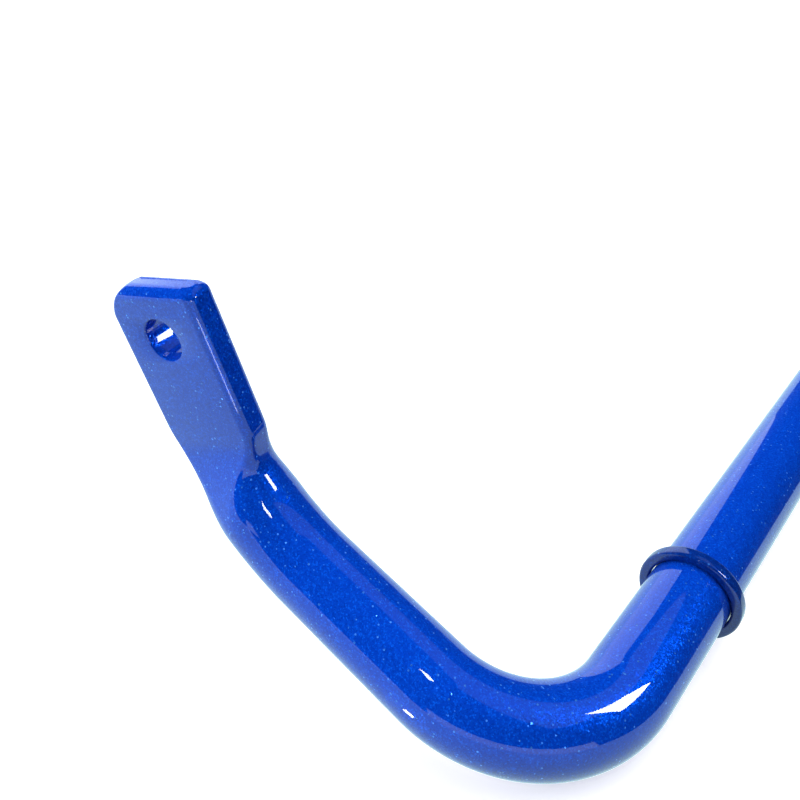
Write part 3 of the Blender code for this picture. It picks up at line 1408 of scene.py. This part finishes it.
    def build(
        self, side: Side, centre: Vector, finishes: dict[str, Material], ribs: NodeRecipe,
    ) -> dict[str, Piece]:
        """Build and dress one support.

        Args:
            side: The half it is on.
            centre: The point of the bar's axis at its middle.
            finishes: Materials by the words liner, bush, saddle and nipple.
            ribs: The tree from rib_recipe().

        Returns:
            The pieces by the same words, and "ribs" for the lips' ribs.
        """
        place = Matrix.Translation(centre)
        makers: dict[str, Callable[[str], Piece]] = {
            "liner": self.liner, "bush": self.bush, "saddle": self.saddle, "nipple": self.nipple}
        pieces = {}
        for word, maker in makers.items():
            piece = moved(maker(f"{side.word}_{word}_piece"), place)
            piece.data.materials.append(finishes[word])
            pieces[word] = smooth(piece)
        pieces["ribs"] = self._lip_ribs(side, centre, finishes["bush"], ribs)
        return pieces

    def _lip_ribs(self, side: Side, centre: Vector, finish: Material, recipe: NodeRecipe) -> Piece:
        """Return both lips' ribs as one object.

        Args:
            side: The half they are on.
            centre: The middle of the support.
            finish: The bush's material.
            recipe: The tree from rib_recipe().

        Returns:
            The ribs.
        """
        name = f"{side.word}_bush_ribs"
        shells = []
        for sign in (-1, 1):
            ribs = recipe.make(f"{name}_{sign + 1}", finish)
            stand = Matrix.Rotation(math.pi / 2, 4, "Y") @ Matrix.Rotation(math.pi / 2, 4, "Z")
            reach = Matrix.Translation(centre + Vector((sign * self.bush_length / 2, 0, 0)))
            shells.append(moved(ribs, reach @ stand))
        return smooth(joined(name, shells), 180.0)


def joined(name: str, parts: Sequence[Piece]) -> Piece:
    """Join meshes into one object.

    Args:
        name: The new object's name.
        parts: The objects, which are removed.

    Returns:
        The joined object, with the first part's material.
    """
    work = bmesh.new()
    for part in parts:
        work.from_mesh(part.data)
    bmesh.ops.recalc_face_normals(work, faces=work.faces)
    mesh = bpy.data.meshes.new(name)
    work.to_mesh(mesh)
    work.free()
    mesh.materials.append(parts[0].data.materials[0])
    made = bpy.data.objects.new(name, mesh)
    bpy.context.scene.collection.objects.link(made)
    for part in parts:
        bpy.data.objects.remove(part, do_unlink=True)
    return made


# --------------------------------------------------------------------------- studio


@dataclass
class Studio:
    """White paper, soft lamps, reflection cards and the camera.

    Attributes:
        corner: The bar's left corner, which the camera looks down on.
        lens: Focal length in millimetres on a 36 mm sensor.
        camera_offset: From the corner to the camera.
        camera_azimuth: The way it looks, from +X towards +Y, in degrees.
        camera_pitch: How far it looks down, in degrees.
        sky: Brightness of the room straight overhead.
        overhead: Power of the soft lamp above the bar.
        window: Power of the soft lamp on the left.
        sweep_top: How high the white sweep reaches in reflections, in degrees.
    """

    corner: Vector
    lens: float = 38.25
    camera_offset: Vector = field(default_factory=lambda: Vector((-0.10346, -0.03686, 0.18961)))
    camera_azimuth: float = 38.26
    camera_pitch: float = -36.0
    sky: float = 0.70
    overhead: float = 18.0
    window: float = 30.0
    sweep_top: float = 38.0

    def _reflected(self, made: Piece, glow: Glow) -> None:
        """Let an object show in glossy reflections only.

        Args:
            made: The object.
            glow: Its emission.
        """
        made.data.materials.append(glow.material())
        made.visible_camera = False
        made.visible_diffuse = False
        made.visible_shadow = False
        made.visible_transmission = False
        made.visible_volume_scatter = False

    def paper(self) -> None:
        """Lay the paper."""
        reach = 6.0
        corners = [Vector((x * reach, y * reach, 0)) for x, y in SQUARE]
        floor = mesh_from("paper_floor", corners, [(0, 1, 2, 3)])
        floor.data.materials.append(PaperSweep("paper", "").material())
        floor.visible_diffuse = False

    def wall(self) -> None:
        """Close the studio with a plain pale wall that only the camera sees."""
        wall = self._shell("pale_wall", 5.5, (0, 360), (-5, 90))
        wall.data.materials.append(Glow("wall_white", (1.0, 0.995, 1.0), 0.96).material())
        wall.visible_diffuse = False
        wall.visible_glossy = False
        wall.visible_shadow = False
        wall.visible_transmission = False

    def room(self) -> None:
        """Set the even light of the room."""
        world = bpy.data.worlds.new("room")
        bpy.context.scene.world = world
        world.use_nodes = True
        tree = ShaderTree(world.node_tree)
        heading_of_ray = tree.add("ShaderNodeTexCoord").outputs["Generated"]
        height = tree.add("ShaderNodeSeparateXYZ", None, {0: heading_of_ray})
        strength = tree.wire(height, "Z").ramp(-0.05, 1.0) * self.sky
        values = {"Color": (0.98, 0.985, 1.0), "Strength": strength}
        light = tree.add("ShaderNodeBackground", None, values)
        tree.add("ShaderNodeOutputWorld", None, {"Surface": light.outputs[0]})

    def _shell(self, name: str, radius: float, azimuths: Pair, elevations: Pair) -> Piece:
        """Return part of a sphere round the corner, seen from inside.

        Args:
            name: The object's name.
            radius: The sphere's radius.
            azimuths: First and last azimuth in degrees.
            elevations: Lowest and highest elevation in degrees.

        Returns:
            The object.
        """
        steps = 32
        points = []
        for up in range(steps + 1):
            rise = math.radians(elevations[0] + (elevations[1] - elevations[0]) * up / steps)
            for round_step in range(steps + 1):
                turn = math.radians(azimuths[0] + (azimuths[1] - azimuths[0]) * round_step / steps)
                level = math.cos(rise)
                outward = Vector((level * math.cos(turn), level * math.sin(turn), math.sin(rise)))
                points.append(self.corner + radius * outward)
        row = steps + 1
        starts = [up * row + along for up in range(steps) for along in range(steps)]
        faces = [(a, a + row, a + row + 1, a + 1) for a in starts]
        return mesh_from(name, points, faces)

    def _box(self, name: str, place: Vector, target: Vector, size: Pair) -> Piece:
        """Return a flat card.

        Args:
            name: The object's name.
            place: Its middle, from the corner.
            target: The point it faces, from the corner.
            size: Its width and height.

        Returns:
            The card.
        """
        wide, high = size[0] / 2, size[1] / 2
        corners = [Vector((x * wide, y * high, 0)) for x, y in SQUARE]
        card = mesh_from(name, corners, [(0, 1, 2, 3)])
        aim = (target - place).to_track_quat("Z", "Y").to_matrix().to_4x4()
        return moved(card, Matrix.Translation(self.corner + place) @ aim)

    def _sheet(self, name: str, points: Sequence[tuple[float, float, float]], glow: Glow) -> None:
        """Hang a four-cornered card.

        Args:
            name: The card's name.
            points: Its corners, from the bar's corner.
            glow: Its emission.
        """
        corners = [self.corner + Vector(point) for point in points]
        self._reflected(mesh_from(name, corners, [(0, 1, 2, 3)]), glow)

    def _on_floor(self, x: Pair, y: Pair, height: float) -> list[tuple[float, float, float]]:
        """Return the corners, from the bar's corner, of a level rectangle above the floor."""
        level = height - self.corner.z
        return [(x[0], y[0], level), (x[1], y[0], level), (x[1], y[1], level), (x[0], y[1], level)]

    def sweeps(self) -> None:
        """Hang the dark room, the white sweep, the dim ceiling and the mirrored floor."""
        dark = Glow("dark_room", (0.4, 0.6, 1.0), 0.01)
        self._reflected(self._shell("dark_dome", 4.0, (0, 360), (-5, 90)), dark)
        white = Glow("white_sweep", (0.80, 0.95, 1.0), 1.7)
        self._reflected(self._shell("far_sweep", 2.0, (32, 92), (-2, self.sweep_top)), white)
        self._reflected(self._shell("left_sweep", 2.0, (92, 180), (-2, 2)), white)
        self._reflected(self._shell("rear_sweep", 2.0, (180, 268), (-2, 11)), white)
        self._sheet("mirrored_paper", self._on_floor((-5, 5), (-5, 5), 0.0005),
                    Glow("paper_tint", (0.66, 0.95, 1.0), 1.3))
        dim = Glow("dim_panel", (0.6, 0.85, 1.0), 0.5)
        self._reflected(self._shell("ceiling_panel", 3.0, (-90, 30), (46, 76)), dim)
        self._sheet("near_shade", self._on_floor((0.10, 5), (-5, -0.08), 0.001), dark)

    def soft_boxes(self) -> None:
        """Hang the small bright cards: bend and neck, arm, floor, link hole and the flat's edge."""
        lamp = Glow("soft_box", (1.0, 1.0, 1.0), 26.0)
        self._sheet("right_box", (
            (0.113, -0.111, 0.200), (0.116, -0.174, 0.151),
            (0.175, -0.151, 0.140), (0.156, -0.106, 0.185),
        ), lamp)
        neck = Vector((0.0, 0.089, 0.042))
        arm_box = self._box("front_box", Vector((-0.0424, 0.0236, 0.109)), neck, (0.010, 0.010))
        self._reflected(arm_box, lamp)
        spot = Vector((-0.057, 0.050, 0.0015 - self.corner.z))
        glint = self._box("floor_glint", spot, spot + Vector((0, 0, 1)), (0.014, 0.008))
        self._reflected(glint, lamp)
        bore = Vector((0.0028, 0.1214, 0.0779))
        behind = bore + Vector((0.632, -0.678, 0.375)) * 0.014
        self._reflected(self._box("bore_box", behind, bore, (0.0065, 0.0048)), lamp)
        thin = Glow("thin_strip", (0.85, 0.95, 1.0), 9.0)
        top, foot = Vector((-0.0129, 0.0888, 0.0868)), Vector((-0.0099, 0.0818, 0.0597))
        half = Vector((0.0015, -0.0013, 0.0))
        self._sheet("edge_strip", (top - half, top + half, foot + half, foot - half), thin)

    def lamp(self, name: str, place: Vector, power: float) -> None:
        """Hang a large soft lamp that gives diffuse light only, so nothing mirrors it.

        Args:
            name: The lamp's name.
            place: Its middle, from the corner, which it faces.
            power: Its power in watts.
        """
        data = bpy.data.lights.new(name, "AREA")
        data.size = 1.4
        data.energy = power
        lamp = bpy.data.objects.new(name, data)
        lamp.location = self.corner + place
        lamp.rotation_euler = (-place).to_track_quat("-Z", "Y").to_euler()
        lamp.visible_glossy = False
        bpy.context.scene.collection.objects.link(lamp)

    def camera(self) -> None:
        """Stand the camera over the left corner."""
        data = bpy.data.cameras.new("camera")
        data.sensor_width = 36.0
        data.lens = self.lens
        data.clip_start = 0.01
        data.clip_end = 50.0
        camera = bpy.data.objects.new("camera", data)
        camera.location = self.corner + self.camera_offset
        upright = Matrix.Rotation(math.radians(self.camera_azimuth - 90), 4, "Z")
        tipped = Matrix.Rotation(math.radians(self.camera_pitch + 90), 4, "X")
        camera.rotation_euler = (upright @ tipped).to_euler()
        bpy.context.scene.collection.objects.link(camera)
        bpy.context.scene.camera = camera

    def build(self) -> None:
        """Set everything up."""
        self.paper()
        self.wall()
        self.room()
        self.sweeps()
        self.soft_boxes()
        self.lamp("overhead", Vector((0.25, -0.15, 1.3)), self.overhead)
        self.lamp("window", Vector((-1.0, 1.0, 0.5)), self.window)
        self.camera()
        bpy.context.scene.view_settings.view_transform = "Standard"


# --------------------------------------------------------------------------- assembly


@dataclass
class SwayBar:
    """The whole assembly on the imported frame.

    Attributes:
        bodies: Body of each kind of piece, with {} for the side's word.
    """

    bodies: dict[str, str] = field(default_factory=lambda: {
        "liner": "{}_sleeve", "bush": "{}_bracket", "ribs": "{}_bracket",
        "saddle": "{}_bracket", "nipple": "{}_bracket"})

    @staticmethod
    def _middle(node: str) -> Vector:
        """Return the middle of a CAD node's box."""
        low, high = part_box(node)
        return (low + high) / 2

    def _attach(self, piece: Piece, body: str, slot: str, *nodes: str) -> None:
        """Make a piece stand for CAD nodes and ride on a body.

        Args:
            piece: The finished piece.
            body: The body it moves with.
            slot: The record's material slot; not used.
            *nodes: The CAD nodes it stands for.
        """
        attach(piece, body)
        if nodes:
            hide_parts(*nodes)
        LOG.info("%s rides on %s with %d faces", piece.name, body, len(piece.data.polygons))

    def build(self) -> Vector:
        """Build every piece.

        Returns:
            The bar's left corner.
        """
        paint = FlakePaint("flake_blue", "bar_paint")
        bar = PaintedBar(axis=self._axis())
        self._attach(bar.build(paint), "bar", paint.slot, "bar")
        self._collars()
        self._supports()
        return bar.corner

    def _axis(self) -> Vector:
        """Return the point of the bar's axis midway between the collars."""
        return (self._middle("left_collar") + self._middle("right_collar")) / 2

    def _collars(self) -> None:
        """Build both collars."""
        collar = StopCollar()
        recipe = collar.recipe()
        # The collar wears the bar's paint; these darker colours are painted shade for the dark room
        # that its coat mirrors.
        deep, bright = (0.001, 0.020, 0.20), (0.004, 0.08, 0.5)
        paint = FlakePaint("flake_blue_collar", "collar_paint", deep=deep, bright=bright)
        finish = paint.material()
        for side in Side:
            node = f"{side.word}_collar"
            piece = collar.build(side, recipe, self._middle(node), finish)
            self._attach(piece, "bar", paint.slot, node)

    def _supports(self) -> None:
        """Build both supports."""
        stack = SupportStack()
        ribs = stack.rib_recipe()
        kinds = {
            "liner": MouldedRubber("acetal_liner", "liner_plastic", body=(0.74, 0.73, 0.67),
                                   worn=(0.62, 0.60, 0.54), rough=0.42, grain_size=0.0005),
            "bush": MouldedRubber("black_bush", "bush_rubber"),
            "saddle": ZincPlate("zinc_saddle", "saddle_zinc"),
            "nipple": ZincPlate("yellow_zinc_nipple", "nipple_steel", light=(0.74, 0.64, 0.36),
                                dull=(0.58, 0.50, 0.30)),
        }
        finishes = {word: kind.material() for word, kind in kinds.items()}
        nodes = {"liner": "{}_liner", "bush": "{}_bush", "saddle": "{}_saddle",
                 "nipple": "{}_grease_nipple"}
        axis = self._axis()
        for side in Side:
            low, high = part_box(f"{side.word}_liner")
            centre = Vector(((low.x + high.x) / 2, axis.y, axis.z))
            for word, piece in stack.build(side, centre, finishes, ribs).items():
                replaced = [nodes[word].format(side.word)] if word in nodes else []
                slot = kinds["bush" if word == "ribs" else word].slot
                self._attach(piece, self.bodies[word].format(side.word), slot, *replaced)


def main() -> None:
    """Load the frame and build the sway bar and its studio."""
    logging.basicConfig(level=logging.INFO, format="%(name)s: %(message)s")
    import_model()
    corner = SwayBar().build()
    Studio(corner).build()


if __name__ == "__main__":
    main()
